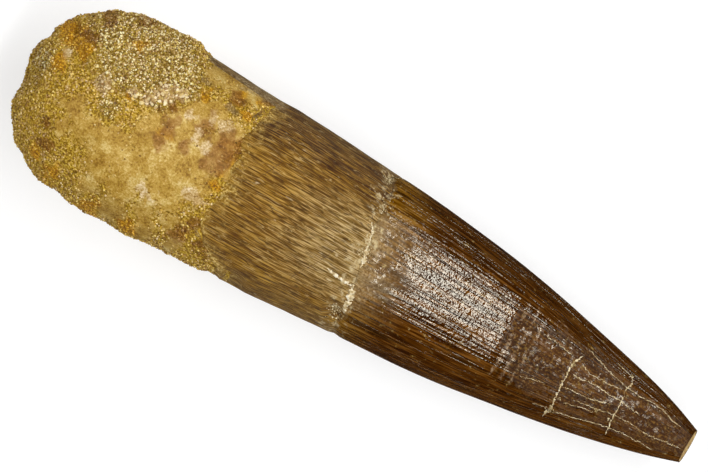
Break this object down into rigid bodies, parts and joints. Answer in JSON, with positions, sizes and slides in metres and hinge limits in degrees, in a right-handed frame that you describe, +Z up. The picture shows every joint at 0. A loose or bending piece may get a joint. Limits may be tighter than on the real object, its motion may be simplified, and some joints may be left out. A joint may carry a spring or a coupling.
{
  "type": "fossil marine reptile tooth",
  "caption": "Conical fossil tooth with a ridged dark crown, a mended break and a blunt broken tip, lying on its side with sandy matrix cemented round its root.",
  "frame": {"origin": "middle of the bounding box in plan, at the height of the surface that the tooth lies on", "axes": "+X along the tooth towards its broken tip, +Z up as it lies, +Y to the left of someone looking along +X"},
  "size_m": [0.05, 0.0134, 0.0121],
  "materials": {
    "tooth": "glossy dark brown enamel on the crown, satin and streaked ochre brown on the root",
    "sandy_matrix": "rough sandy phosphate rock, waxy where it is worn"
  },
  "bodies": {
    "root": {"tooth": "tooth", "sandy_matrix": "sandy_matrix"}
  },
  "joints": []
}
